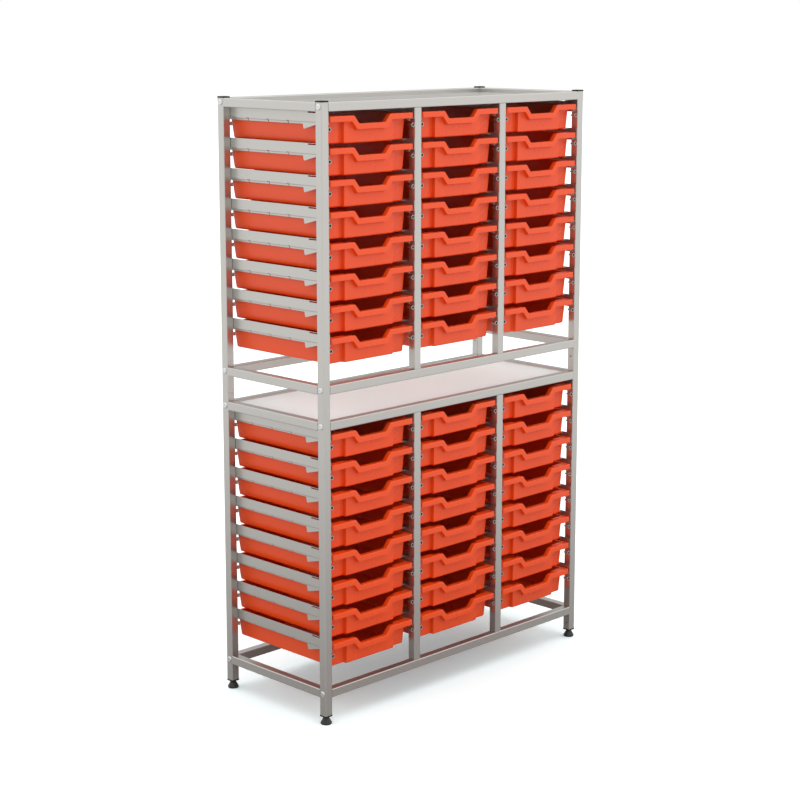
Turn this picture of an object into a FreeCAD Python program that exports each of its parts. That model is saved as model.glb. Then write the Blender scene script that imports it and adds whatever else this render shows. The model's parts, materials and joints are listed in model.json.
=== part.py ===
import FreeCAD, Part
import os

import Sketcher

# A classroom tray storage unit: two equal frames of square steel tube, one stacked on the other.
# Each frame has three columns of eight shallow moulded trays, and every tray slides on its own
# pair of pressed steel runners. The lower frame stands on four levelling feet.
#
# The row frame has its origin on the floor under the middle of the unit: +X to the right as seen
# from the front, +Y to the back, +Z up. All lengths are in millimetres.

Vector = FreeCAD.Vector
Rotation = FreeCAD.Rotation
X_AXIS = Vector(1, 0, 0)
Y_AXIS = Vector(0, 1, 0)
Z_AXIS = Vector(0, 0, 1)
FLAT = 1e-6

COLUMNS = ("left", "middle", "right")
FRAMES = ("lower", "upper")
ROWS = 8
BOLT_HEAD_FLATS = 8

# ---------------------------------------------------------------------------------------------
# Driving sizes
# ---------------------------------------------------------------------------------------------

SIZES = (
    # square tube of the frames
    ("tube_side", 25.0),
    ("tube_wall", 1.5),
    # one frame, from the bottom of its posts upwards
    ("rail_drop", 50.0),
    ("bottom_space", 52.0),
    ("tray_spacing", 10.0),
    ("top_space", 13.0),
    ("stack_rise", 25.0),
    # shallow tray
    ("tray_width", 312.0),
    ("tray_length", 427.0),
    ("tray_height", 75.0),
    ("tray_wall", 2.0),
    ("tray_draft", 5.5),
    ("side_gap", 6.5),
    ("rear_gap", 1.0),
    ("rim_height", 15.5),
    ("side_rim", 11.7),
    ("end_rim", 13.0),
    ("corner_setback", 7.5),
    ("corner_slope", 4.5),
    ("panel_width", 185.0),
    ("notch_width", 135.0),
    ("notch_floor", 99.0),
    ("notch_depth", 22.0),
    # pressed runner
    ("runner_gauge", 1.5),
    ("runner_inset", 2.0),
    ("runner_air", 0.5),
    ("tray_play", 0.3),
    ("ledge_width", 10.5),
    ("lip_depth", 7.2),
    ("stop_start", 28.0),
    ("stop_tip", 96.0),
    ("stop_end", 103.0),
    ("stop_depth", 16.4),
    # top panels
    ("panel_gauge", 1.2),
    ("panel_fold", 10.0),
    ("panel_fit", 0.3),
    ("lower_recess", 6.0),
    ("upper_recess", 13.5),
    # plugs, caps and spigots in the ends of the tubes
    ("plug_fit", 0.15),
    ("cap_height", 4.0),
    ("cap_stem", 14.0),
    ("cap_edge", 1.2),
    ("insert_flange", 3.0),
    ("insert_depth", 28.0),
    ("spigot_length", 60.0),
    # frame bolts
    ("bolt_head", 17.0),
    ("bolt_head_height", 3.6),
    # levelling feet
    ("foot_rise", 26.0),
    ("foot_gap", 0.3),
    ("foot_pad", 32.0),
    ("foot_edge", 3.0),
    ("foot_neck", 14.0),
    ("stud_diameter", 8.0),
    ("stud_reach", 20.0),
    ("stud_fit", 0.1),
)

document = FreeCAD.newDocument("tray_storage_unit")
sheet = document.addObject("Spreadsheet::Sheet", "Sizes")
for line, (alias, size) in enumerate(SIZES, start=1):
    sheet.set(f"A{line}", alias)
    sheet.set(f"B{line}", str(size))
    sheet.setAlias(f"B{line}", alias)
document.recompute()

# What follows from the driving sizes is worked out once, and every sub-part reads it from here.
LAYOUT = (
    ("opening", "Sizes.tray_width + 2 * Sizes.side_gap"),
    ("column_pitch", "Layout.opening + Sizes.tube_side"),
    ("frame_width", f"{len(COLUMNS)} * Layout.column_pitch + Sizes.tube_side"),
    ("frame_depth", "Sizes.tray_length + Sizes.rear_gap"),
    ("row_pitch", "Sizes.tray_height + Sizes.tray_spacing"),
    ("tray_stack", f"{ROWS} * Layout.row_pitch - Sizes.tray_spacing"),
    ("rail_span", "Sizes.bottom_space + Layout.tray_stack + Sizes.top_space"),
    ("top_rail", "Sizes.rail_drop + Sizes.tube_side + Layout.rail_span"),
    ("lower_post", "Layout.top_rail + Sizes.tube_side + Sizes.stack_rise"),
    ("upper_post", "Layout.top_rail + Sizes.tube_side"),
    ("lower_base", "Sizes.foot_rise"),
    ("upper_base", "Layout.lower_base + Layout.lower_post"),
    ("side_rail", "Layout.frame_depth - 2 * Sizes.tube_side"),
    ("cross_rail", "Layout.frame_width - 2 * Sizes.tube_side"),
    ("post_x", "(Layout.frame_width - Sizes.tube_side) / 2"),
    ("post_y", "(Layout.frame_depth - Sizes.tube_side) / 2"),
    ("low_rail_axis", "Sizes.rail_drop + Sizes.tube_side / 2"),
    ("high_rail_axis", "Layout.top_rail + Sizes.tube_side / 2"),
    ("tube_bore", "Sizes.tube_side - 2 * Sizes.tube_wall"),
    ("plug_side", "Layout.tube_bore - 2 * Sizes.plug_fit"),
    ("first_rim", "Layout.top_rail - Sizes.top_space"),
    ("tub_side", "Sizes.tray_width / 2 - Sizes.side_rim"),
    ("tub_panel", "Sizes.tray_length / 2 - Sizes.end_rim"),
    ("tub_corner", "Layout.tub_panel - Sizes.corner_setback"),
    ("panel_half", "Sizes.panel_width / 2"),
    ("wall_shift", "Sizes.tray_wall / cos(Sizes.tray_draft)"),
    ("slope_shift", "Layout.wall_shift * tan(atan(Sizes.corner_setback / Sizes.corner_slope) / 2)"),
    ("notch_run", "(Sizes.notch_width - Sizes.notch_floor) / 2"),
    ("grip_shift", "Sizes.rim_height * tan(atan(Sizes.notch_depth / Layout.notch_run) / 2)"),
    ("ledge_top", "-Sizes.rim_height - Sizes.tray_play"),
    ("web_bottom", "Layout.ledge_top - Sizes.runner_gauge"),
    ("web_top", "Sizes.top_space - Sizes.runner_air"),
    ("runner_length", "Layout.frame_depth - 2 * Sizes.runner_inset"),
    ("stud_bore", "Sizes.stud_diameter + 2 * Sizes.stud_fit"),
    ("neck_top", "Sizes.foot_rise - Sizes.insert_flange - Sizes.foot_gap"),
)
layout = document.addObject("App::VarSet", "Layout")
for name, rule in LAYOUT:
    layout.addProperty("App::PropertyFloat", name, "Derived", "")
    layout.setExpression(name, rule)
document.recompute()


# ---------------------------------------------------------------------------------------------
# Helpers: each keeps what it draws bound to the sheet
# ---------------------------------------------------------------------------------------------

def value(rule):
    """Return the plain number that an expression gives now."""
    number = sheet.evalExpression(rule)
    return float(getattr(number, "Value", number))


def minus(rule):
    """Return the expression with its sign turned."""
    return f"-({rule})"


def new_body(label):
    """Start a sub-part's body."""
    body = document.addObject("PartDesign::Body", label)
    body.Label = label
    return body


def new_sketch(body, name, role, offset=None):
    """Start a sketch on one of the body's own origin planes, moved along its normal by offset."""
    sketch = body.newObject("Sketcher::SketchObject", f"{body.Name}_{name}")
    plane = next(item for item in body.Origin.OriginFeatures if item.Role == role)
    sketch.AttachmentSupport = [(plane, "")]
    sketch.MapMode = "FlatFace"
    if offset:
        sketch.setExpression("AttachmentOffset.Base.z", offset)
    return sketch


def hold(sketch, kind, geometry, point, rule):
    """Hold a point's distance from the sketch's origin to an expression."""
    index = sketch.addConstraint(Sketcher.Constraint(kind, -1, 1, geometry, point, value(rule)))
    sketch.setExpression(f"Constraints[{index}]", rule)


def outline(sketch, corners):
    """Draw a closed outline of straight lines through corners given as pairs of expressions."""
    places = [Vector(value(across), value(along), 0) for across, along in corners]
    lines = []
    for start, end in zip(places, places[1:] + places[:1]):
        lines.append(sketch.addGeometry(Part.LineSegment(start, end)))
    for line, following in zip(lines, lines[1:] + lines[:1]):
        sketch.addConstraint(Sketcher.Constraint("Coincident", line, 2, following, 1))
    for line, (across, along) in zip(lines, corners):
        hold(sketch, "DistanceX", line, 1, across)
        hold(sketch, "DistanceY", line, 1, along)


def rectangle(sketch, half_width, half_height):
    """Draw a rectangle centred on the sketch's origin."""
    right, up = half_width, half_height
    left, down = minus(right), minus(up)
    outline(sketch, [(left, down), (right, down), (right, up), (left, up)])


def circle(sketch, across, along, diameter):
    """Draw a circle whose centre and diameter are expressions."""
    centre = Vector(value(across), value(along), 0)
    ring = sketch.addGeometry(Part.Circle(centre, Z_AXIS, value(diameter) / 2))
    hold(sketch, "DistanceX", ring, 3, across)
    hold(sketch, "DistanceY", ring, 3, along)
    index = sketch.addConstraint(Sketcher.Constraint("Diameter", ring, value(diameter)))
    sketch.setExpression(f"Constraints[{index}]", diameter)


def extrude(body, kind, name, sketch, length, backwards=False, both_ways=False):
    """Add a Pad or a Pocket of the sketch, and refuse one that changes nothing."""
    document.recompute()
    before = body.Shape.Volume if body.Tip else 0.0
    feature = body.newObject(f"PartDesign::{kind}", f"{body.Name}_{name}")
    feature.Profile = sketch
    feature.setExpression("Length", length)
    feature.Reversed = backwards
    feature.Midplane = both_ways
    document.recompute()
    if abs(feature.Shape.Volume - before) < FLAT:
        raise ValueError(f"{feature.Name} changes nothing")
    return feature


def faces_where(shape, test):
    """Name the flat faces that pass a test of their outward normal and their box."""
    names = []
    for index, face in enumerate(shape.Faces, start=1):
        if test(face.normalAt(0, 0), face.BoundBox):
            names.append(f"Face{index}")
    return names


def edges_where(shape, test):
    """Name the straight edges that pass a test of their direction and middle."""
    names = []
    for index, edge in enumerate(shape.Edges, start=1):
        start, end = edge.Vertexes[0].Point, edge.Vertexes[-1].Point
        direction = (end - start).normalize() if (end - start).Length > FLAT else Vector()
        if test(direction, (start + end) * 0.5):
            names.append(f"Edge{index}")
    return names


def chamfer(body, name, feature, edges, size):
    """Break the named edges by an equal chamfer."""
    bevel = body.newObject("PartDesign::Chamfer", f"{body.Name}_{name}")
    bevel.Base = (feature, edges)
    bevel.setExpression("Size", size)
    document.recompute()
    return bevel


def place(source, label, across, along, up, turn=Rotation()):
    """Put a linked copy of a sub-part at a place given by three expressions."""
    copy = document.addObject("App::Link", label)
    copy.Label = label
    copy.LinkedObject = source
    copy.Placement = FreeCAD.Placement(Vector(), turn)
    copy.setExpression("Placement.Base.x", across)
    copy.setExpression("Placement.Base.y", along)
    copy.setExpression("Placement.Base.z", up)
    return copy


def gather(label, copies):
    """Join placed copies into one node of separate solids."""
    group = document.addObject("Part::Compound", label)
    group.Label = label
    group.Links = copies
    return group


ALONG_X = Rotation(Y_AXIS, 90)
ALONG_Y = Rotation(X_AXIS, -90)
SIDES = (("left", "-"), ("right", ""))
ENDS = (("front", "-"), ("rear", ""))
RAIL_HEIGHTS = (("bottom", "Layout.low_rail_axis"), ("top", "Layout.high_rail_axis"))


# ---------------------------------------------------------------------------------------------
# Frames
# ---------------------------------------------------------------------------------------------

def square_tube(name, length):
    """A straight run of square tube along Z from the origin."""
    body = new_body(name)
    section = new_sketch(body, "section", "XY_Plane")
    rectangle(section, "Sizes.tube_side / 2", "Sizes.tube_side / 2")
    rectangle(section, "Layout.tube_bore / 2", "Layout.tube_bore / 2")
    extrude(body, "Pad", "run", section, length)
    return body


posts = {
    "lower": square_tube("lower_corner_post", "Layout.lower_post"),
    "upper": square_tube("upper_corner_post", "Layout.upper_post"),
}
side_rail = square_tube("side_rail", "Layout.side_rail")
cross_rail = square_tube("cross_rail", "Layout.cross_rail")
mullion = square_tube("mullion", "Layout.rail_span")

side_frame_tubes = []
cross_frame_tubes = []
for frame in FRAMES:
    base = f"Layout.{frame}_base"
    for side, side_sign in SIDES:
        for end, end_sign in ENDS:
            side_frame_tubes.append(place(
                posts[frame], f"{frame}_{side}_{end}_post",
                f"{side_sign}Layout.post_x", f"{end_sign}Layout.post_y", base,
            ))
        for level, height in RAIL_HEIGHTS:
            side_frame_tubes.append(place(
                side_rail, f"{frame}_{side}_{level}_rail",
                f"{side_sign}Layout.post_x", "-Layout.side_rail / 2", f"{base} + {height}", ALONG_Y,
            ))
    for end, end_sign in ENDS:
        for level, height in RAIL_HEIGHTS:
            cross_frame_tubes.append(place(
                cross_rail, f"{frame}_{end}_{level}_rail",
                "-Layout.cross_rail / 2", f"{end_sign}Layout.post_y", f"{base} + {height}", ALONG_X,
            ))
        for side, side_sign in SIDES:
            cross_frame_tubes.append(place(
                mullion, f"{frame}_{end}_{side}_mullion",
                f"{side_sign}Layout.column_pitch / 2", f"{end_sign}Layout.post_y",
                f"{base} + Sizes.rail_drop + Sizes.tube_side",
            ))
side_frames = gather("side_frames", side_frame_tubes)
cross_frames = gather("cross_frames", cross_frame_tubes)


# ---------------------------------------------------------------------------------------------
# Top panels: shallow folded pans let into the top rails
# ---------------------------------------------------------------------------------------------

def folded_panel(name):
    """A sheet with its four edges folded down, its top face at the origin's height."""
    body = new_body(name)
    half_width = "Layout.cross_rail / 2 - Sizes.panel_fit"
    half_depth = "Layout.side_rail / 2 - Sizes.panel_fit"
    blank = new_sketch(body, "blank", "XY_Plane")
    rectangle(blank, half_width, half_depth)
    extrude(body, "Pad", "block", blank, "Sizes.panel_fold", backwards=True)
    hollow = new_sketch(body, "hollow", "XY_Plane", "-Sizes.panel_fold")
    rectangle(hollow, f"{half_width} - Sizes.panel_gauge", f"{half_depth} - Sizes.panel_gauge")
    extrude(body, "Pocket", "underside", hollow, "Sizes.panel_fold - Sizes.panel_gauge", backwards=True)
    return body


panel = folded_panel("folded_panel")
top_of_rail = "Layout.top_rail + Sizes.tube_side"
lower_shelf_panel = place(
    panel, "lower_shelf_panel", "0", "0", f"Layout.lower_base + {top_of_rail} - Sizes.lower_recess",
)
upper_top_panel = place(
    panel, "upper_top_panel", "0", "0", f"Layout.upper_base + {top_of_rail} - Sizes.upper_recess",
)


# ---------------------------------------------------------------------------------------------
# Runners: one pressed strip each side of every tray, across the inner faces of two uprights
# ---------------------------------------------------------------------------------------------

def pressed_runner(name):
    """A runner for the left side of a tray, its web's outer face on X = 0, the tray's rim at Z = 0."""
    body = new_body(name)
    section = new_sketch(body, "section", "XZ_Plane")
    gauge = "Sizes.runner_gauge"
    inner_edge = "Sizes.ledge_width"
    lip_bottom = "Layout.ledge_top - Sizes.lip_depth"
    outline(section, [
        ("0", "Layout.web_top"),
        (gauge, "Layout.web_top"),
        (gauge, "Layout.ledge_top"),
        (inner_edge, "Layout.ledge_top"),
        (inner_edge, lip_bottom),
        (f"{inner_edge} - {gauge}", lip_bottom),
        (f"{inner_edge} - {gauge}", "Layout.web_bottom"),
        ("0", "Layout.web_bottom"),
    ])
    extrude(body, "Pad", "strip", section, "Layout.runner_length", both_ways=True)
    front = "-Layout.frame_depth / 2"
    wedge = new_sketch(body, "stop_outline", "YZ_Plane")
    outline(wedge, [
        (f"{front} + Sizes.stop_start", "Layout.web_bottom"),
        (f"{front} + Sizes.stop_tip", "Layout.web_bottom - Sizes.stop_depth"),
        (f"{front} + Sizes.stop_end", "Layout.web_bottom"),
    ])
    extrude(body, "Pad", "stop_tab", wedge, gauge)
    return body


left_runner = pressed_runner("left_runner")
right_runner = document.addObject("Part::Mirroring", "right_runner")
right_runner.Label = "right_runner"
right_runner.Source = left_runner
right_runner.Normal = X_AXIS


def rim_height_of(frame, row):
    """The height of a tray's rim, counting the rows from the top."""
    return f"Layout.{frame}_base + Layout.first_rim - {row} * Layout.row_pitch"


def column_start(column):
    """The inner face of the upright at the left of a column."""
    return f"-Layout.frame_width / 2 + Sizes.tube_side + {column} * Layout.column_pitch"


runner_copies = []
for frame in FRAMES:
    for column, column_name in enumerate(COLUMNS):
        for row in range(ROWS):
            spot = f"{frame}_{column_name}_{row + 1}"
            height = rim_height_of(frame, row)
            start = column_start(column)
            runner_copies.append(place(left_runner, f"left_runner_{spot}", start, "0", height))
            runner_copies.append(place(
                right_runner, f"right_runner_{spot}", f"{start} + Layout.opening", "0", height,
            ))
tray_runners = gather("tray_runners", runner_copies)


# ---------------------------------------------------------------------------------------------
# Trays: a moulded tub with a draft, a turned-down rim and a dipped hand grip
# ---------------------------------------------------------------------------------------------

def tub_outline(inset, slope_inset):
    """The tub in plan: the middle of its front stands proud of its corners, and its rear is plain."""
    side = f"(Layout.tub_side - {inset})"
    corner = f"(Layout.tub_corner - {inset})"
    panel_end = f"(Layout.tub_panel - {inset})"
    slope_inner = f"(Layout.panel_half - {slope_inset})"
    slope_outer = f"(Layout.panel_half + Sizes.corner_slope - {slope_inset})"
    front = [
        (minus(side), minus(corner)),
        (minus(slope_outer), minus(corner)),
        (minus(slope_inner), minus(panel_end)),
        (slope_inner, minus(panel_end)),
        (slope_outer, minus(corner)),
        (side, minus(corner)),
    ]
    rear = [(side, panel_end), (minus(side), panel_end)]
    return front + rear


def drafted_block(body, name, corners, depth):
    """A block under the rim's plane whose sides lean inwards by the mould's draft."""
    plan = new_sketch(body, name, "XY_Plane")
    outline(plan, corners)
    block = extrude(body, "Pad", f"{name}_block", plan, depth, backwards=True)
    lean = body.newObject("PartDesign::Draft", f"{body.Name}_{name}_draft")
    lean.Base = (block, faces_where(block.Shape, lambda normal, box: abs(normal.z) < FLAT))
    lean.NeutralPlane = (block, faces_where(block.Shape, lambda normal, box: abs(box.ZMin) < FLAT))
    lean.Reversed = True
    lean.setExpression("Angle", "Sizes.tray_draft")
    document.recompute()
    if lean.Shape.Volume >= block.Shape.Volume:
        raise ValueError(f"{lean.Name} leans the wrong way")


def mould_core(name):
    """The space inside the tub, as the core of its mould."""
    body = new_body(name)
    corners = tub_outline("Layout.wall_shift", "Layout.slope_shift")
    drafted_block(body, "space", corners, "Sizes.tray_height - Sizes.tray_wall")
    return body


def moulded_tray(name):
    """A shallow tray, its rim's top face at the origin's height, its front towards -Y."""
    body = new_body(name)
    half_width = "Sizes.tray_width / 2"
    half_length = "Sizes.tray_length / 2"

    drafted_block(body, "tub", tub_outline("0", "0"), "Sizes.tray_height")

    plate = new_sketch(body, "plate", "XY_Plane")
    rectangle(plate, half_width, half_length)
    extrude(body, "Pad", "rim_plate", plate, "Sizes.tray_wall", backwards=True)
    skirt = new_sketch(body, "skirt", "XY_Plane")
    rectangle(skirt, half_width, half_length)
    rectangle(skirt, f"{half_width} - Sizes.tray_wall", f"{half_length} - Sizes.tray_wall")
    extrude(body, "Pad", "rim_skirt", skirt, "Sizes.rim_height", backwards=True)

    reach = "Sizes.end_rim + Sizes.notch_depth"
    grip = new_sketch(body, "grip", "XZ_Plane", half_length)
    rim_bottom = "-Sizes.rim_height"
    grip_bottom = "-Sizes.rim_height - Sizes.notch_depth"
    grip_top_half = "Sizes.notch_width / 2 + Layout.grip_shift"
    grip_floor_half = "Sizes.notch_floor / 2 + Layout.grip_shift"
    outline(grip, [
        (minus("Layout.panel_half"), "0"),
        (minus("Layout.panel_half"), rim_bottom),
        (minus(grip_top_half), rim_bottom),
        (minus(grip_floor_half), grip_bottom),
        (grip_floor_half, grip_bottom),
        (grip_top_half, rim_bottom),
        ("Layout.panel_half", rim_bottom),
        ("Layout.panel_half", "0"),
    ])
    extrude(body, "Pad", "hand_grip", grip, reach, backwards=True)

    inside = body.newObject("PartDesign::Boolean", f"{body.Name}_inside")
    inside.Type = "Cut"
    inside.Group = [mould_core("tray_core")]
    document.recompute()

    dip = new_sketch(body, "dip", "XZ_Plane", half_length)
    outline(dip, [
        (minus("Sizes.notch_width / 2"), "0"),
        (minus("Sizes.notch_floor / 2"), "-Sizes.notch_depth"),
        ("Sizes.notch_floor / 2", "-Sizes.notch_depth"),
        ("Sizes.notch_width / 2", "0"),
    ])
    extrude(body, "Pocket", "notch", dip, reach)
    return body


tray = moulded_tray("shallow_tray")
trays = []
for frame in FRAMES:
    for column, column_name in enumerate(COLUMNS):
        for row in range(ROWS):
            trays.append(place(
                tray, f"tray_{frame}_{column_name}_{row + 1}",
                f"{column_start(column)} + Layout.opening / 2", "-Sizes.rear_gap / 2",
                rim_height_of(frame, row),
            ))


# ---------------------------------------------------------------------------------------------
# Plugs, caps and spigots in the ends of the tubes
# ---------------------------------------------------------------------------------------------

def post_cap(name):
    """A cap on the top of a post, with a square stem pressed into the tube."""
    body = new_body(name)
    cover = new_sketch(body, "cover", "XY_Plane")
    rectangle(cover, "Sizes.tube_side / 2", "Sizes.tube_side / 2")
    plate = extrude(body, "Pad", "plate", cover, "Sizes.cap_height")
    top = value("Sizes.cap_height")
    top_edges = edges_where(plate.Shape, lambda direction, middle: abs(middle.z - top) < FLAT)
    chamfer(body, "top_edges", plate, top_edges, "Sizes.cap_edge")
    stem = new_sketch(body, "stem", "XY_Plane")
    rectangle(stem, "Layout.plug_side / 2", "Layout.plug_side / 2")
    extrude(body, "Pad", "plug", stem, "Sizes.cap_stem", backwards=True)
    return body


def foot_insert(name):
    """A flanged insert in the bottom of a post, bored for the stud of a levelling foot."""
    body = new_body(name)
    flange = new_sketch(body, "flange", "XY_Plane")
    rectangle(flange, "Sizes.tube_side / 2", "Sizes.tube_side / 2")
    extrude(body, "Pad", "plate", flange, "Sizes.insert_flange", backwards=True)
    stem = new_sketch(body, "stem", "XY_Plane")
    rectangle(stem, "Layout.plug_side / 2", "Layout.plug_side / 2")
    extrude(body, "Pad", "plug", stem, "Sizes.insert_depth")
    bore = new_sketch(body, "bore", "XY_Plane")
    circle(bore, "0", "0", "Layout.stud_bore")
    extrude(body, "Pocket", "stud_bore", bore, "2 * Sizes.insert_depth", both_ways=True)
    return body


def square_plug(name, length):
    """A square plug along Z from the origin that fits inside the tube."""
    body = new_body(name)
    section = new_sketch(body, "section", "XY_Plane")
    rectangle(section, "Layout.plug_side / 2", "Layout.plug_side / 2")
    extrude(body, "Pad", "block", section, length)
    return body


cap = post_cap("post_cap")
insert = foot_insert("foot_insert")
spigot = square_plug("stacking_spigot", "Sizes.spigot_length")
caps = []
plugs = []
for side, side_sign in SIDES:
    for end, end_sign in ENDS:
        across = f"{side_sign}Layout.post_x"
        along = f"{end_sign}Layout.post_y"
        caps.append(place(
            cap, f"{side}_{end}_cap", across, along, "Layout.upper_base + Layout.upper_post",
        ))
        plugs.append(place(insert, f"{side}_{end}_insert", across, along, "Layout.lower_base"))
        plugs.append(place(
            spigot, f"{side}_{end}_spigot", across, along, "Layout.upper_base - Sizes.spigot_length / 2",
        ))
post_caps = gather("post_caps", caps)
tube_plugs = gather("tube_plugs", plugs)


# ---------------------------------------------------------------------------------------------
# Levelling feet
# ---------------------------------------------------------------------------------------------

def revolve(body, name, sketch):
    """Turn a half section about the body's Z axis."""
    turned = body.newObject("PartDesign::Revolution", f"{body.Name}_{name}")
    turned.Profile = sketch
    axis = next(item for item in body.Origin.OriginFeatures if item.Role == "Z_Axis")
    turned.ReferenceAxis = (axis, [""])
    document.recompute()
    return turned


def levelling_foot(name):
    """A foot standing at Z = 0: a conical pad and the stud that screws into the insert."""
    body = new_body(name)
    profile = new_sketch(body, "profile", "XZ_Plane")
    stud_top = "Layout.neck_top + Sizes.stud_reach"
    outline(profile, [
        ("0", "0"),
        ("Sizes.foot_pad / 2", "0"),
        ("Sizes.foot_pad / 2", "Sizes.foot_edge"),
        ("Sizes.foot_neck / 2", "Layout.neck_top"),
        ("Sizes.stud_diameter / 2", "Layout.neck_top"),
        ("Sizes.stud_diameter / 2", stud_top),
        ("0", stud_top),
    ])
    revolve(body, "turned", profile)
    return body


foot = levelling_foot("levelling_foot")
feet = []
for side, side_sign in SIDES:
    for end, end_sign in ENDS:
        feet.append(place(
            foot, f"foot_{end}_{side}", f"{side_sign}Layout.post_x", f"{end_sign}Layout.post_y", "0",
        ))


# ---------------------------------------------------------------------------------------------
# Frame bolts: their heads on the sides of the corner posts, one at each end of every cross rail
# ---------------------------------------------------------------------------------------------

bolt_head = document.addObject("Part::Prism", "bolt_head")
bolt_head.Label = "bolt_head"
bolt_head.Polygon = BOLT_HEAD_FLATS
bolt_head.setExpression("Circumradius", "Sizes.bolt_head / 2")
bolt_head.setExpression("Height", "Sizes.bolt_head_height")
OUTWARDS = {"left": Rotation(Y_AXIS, -90), "right": Rotation(Y_AXIS, 90)}
bolts = []
for frame in FRAMES:
    for side, side_sign in SIDES:
        for end, end_sign in ENDS:
            for level, height in RAIL_HEIGHTS:
                bolts.append(place(
                    bolt_head, f"{frame}_{side}_{end}_{level}_bolt",
                    f"{side_sign}Layout.frame_width / 2", f"{end_sign}Layout.post_y",
                    f"Layout.{frame}_base + {height}", OUTWARDS[side],
                ))
frame_bolts = gather("frame_bolts", bolts)


# ---------------------------------------------------------------------------------------------
# Check every object, then write one file per sub-part
# ---------------------------------------------------------------------------------------------

document.recompute()
for item in document.Objects:
    if "Invalid" in item.State or "Error" in item.State:
        raise ValueError(f"{item.Label} did not recompute: {item.State}")

NODES = [
    side_frames, cross_frames, lower_shelf_panel, upper_top_panel, tray_runners,
    post_caps, tube_plugs, frame_bolts, *feet, *trays,
]
os.makedirs("parts", exist_ok=True)
for node in NODES:
    shape = node.Shape
    if shape.isNull() or not shape.isValid():
        raise ValueError(f"{node.Label} has no valid shape")
    shape.exportStep(f"parts/{node.Label}.step")
print(f"{len(NODES)} sub-parts written")
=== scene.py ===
# %% [markdown]
# # A classroom tray storage unit, dressed for a picture
# The real object is two equal frames of square steel tube, one stacked on the other, with three columns
# of shallow moulded trays in each. The engineering model fixes where everything is. This script keeps
# those places, and gives each piece the rounded edges, fine parts and finishes that a maker would see.

# %% Load the engineering model
import json
import math

import bmesh
import bpy
from mathutils import Matrix, Vector

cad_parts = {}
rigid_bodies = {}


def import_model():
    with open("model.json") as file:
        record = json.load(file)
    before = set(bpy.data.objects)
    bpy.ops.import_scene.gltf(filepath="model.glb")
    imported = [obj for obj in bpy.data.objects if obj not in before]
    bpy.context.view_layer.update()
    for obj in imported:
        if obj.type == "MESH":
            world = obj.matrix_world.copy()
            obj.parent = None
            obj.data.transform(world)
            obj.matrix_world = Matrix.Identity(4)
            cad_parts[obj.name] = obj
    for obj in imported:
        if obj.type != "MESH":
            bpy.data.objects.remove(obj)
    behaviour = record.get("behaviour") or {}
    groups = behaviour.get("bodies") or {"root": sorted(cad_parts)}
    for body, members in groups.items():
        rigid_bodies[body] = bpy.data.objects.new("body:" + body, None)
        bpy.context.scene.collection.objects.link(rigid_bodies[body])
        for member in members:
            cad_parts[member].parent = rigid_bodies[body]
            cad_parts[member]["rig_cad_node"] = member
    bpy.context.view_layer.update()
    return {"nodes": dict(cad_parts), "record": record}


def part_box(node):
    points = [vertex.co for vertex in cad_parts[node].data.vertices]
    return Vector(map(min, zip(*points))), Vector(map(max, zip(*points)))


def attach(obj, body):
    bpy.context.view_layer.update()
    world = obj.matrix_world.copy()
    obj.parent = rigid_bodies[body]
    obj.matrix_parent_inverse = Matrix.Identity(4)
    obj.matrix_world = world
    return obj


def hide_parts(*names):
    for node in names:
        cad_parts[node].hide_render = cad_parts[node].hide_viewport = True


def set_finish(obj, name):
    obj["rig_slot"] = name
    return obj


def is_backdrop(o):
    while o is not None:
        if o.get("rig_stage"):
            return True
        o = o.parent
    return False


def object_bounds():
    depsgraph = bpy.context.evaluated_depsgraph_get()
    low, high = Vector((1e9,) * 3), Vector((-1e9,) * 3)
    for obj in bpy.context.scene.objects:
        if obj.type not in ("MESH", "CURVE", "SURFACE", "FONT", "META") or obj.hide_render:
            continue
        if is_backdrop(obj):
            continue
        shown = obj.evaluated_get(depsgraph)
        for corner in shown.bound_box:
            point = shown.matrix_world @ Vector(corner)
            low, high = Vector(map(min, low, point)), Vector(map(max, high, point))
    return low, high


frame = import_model()
nodes = frame["nodes"]

# %% [markdown]
# ## Places
# The trays, the posts and the two frames are placed from the engineering model, so what is moved there
# moves here too. The tube's size, the heights of the rails and the lengths of a section or a detail are
# given here. They are in millimetres and multiplied by MM, because Blender counts in metres.

# %% Read the columns, the rows and the two frames
MM = 0.001
FRAMES = ("lower", "upper")
COLUMNS = ("left", "middle", "right")
ROWS = range(1, 9)
TUBE = 25 * MM
HALF_TUBE = TUBE / 2


def tray_name(half, column, row):
    return f"tray_{half}_{column}_{row}"


tray_place = {}
for half in FRAMES:
    for column in COLUMNS:
        for row in ROWS:
            low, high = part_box(tray_name(half, column, row))
            tray_place[half, column, row] = Vector(((low.x + high.x) / 2, 0, high.z))

side_low, side_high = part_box("side_frames")
tray_low, tray_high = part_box("tray_upper_left_1")
front_y = side_low.y
post_x = side_high.x - HALF_TUBE
post_y = side_high.y - HALF_TUBE
column_pitch = tray_place["upper", "middle", 1].x - tray_place["upper", "left", 1].x
upright_x = column_pitch / 2
opening = column_pitch - TUBE
print("trays", len(tray_place), "post centres", round(post_x, 4), round(post_y, 4))

# %% [markdown]
# ## Helpers for meshes
# Most pieces here are closed rings of points joined by quads, which is called a loft. A tube, a tray and
# a turned foot are all lofts, only with other rings. A bevel modifier could round a plain block instead,
# but rings give each edge the radius of its own press tool or mould, and they never overlap.


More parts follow.
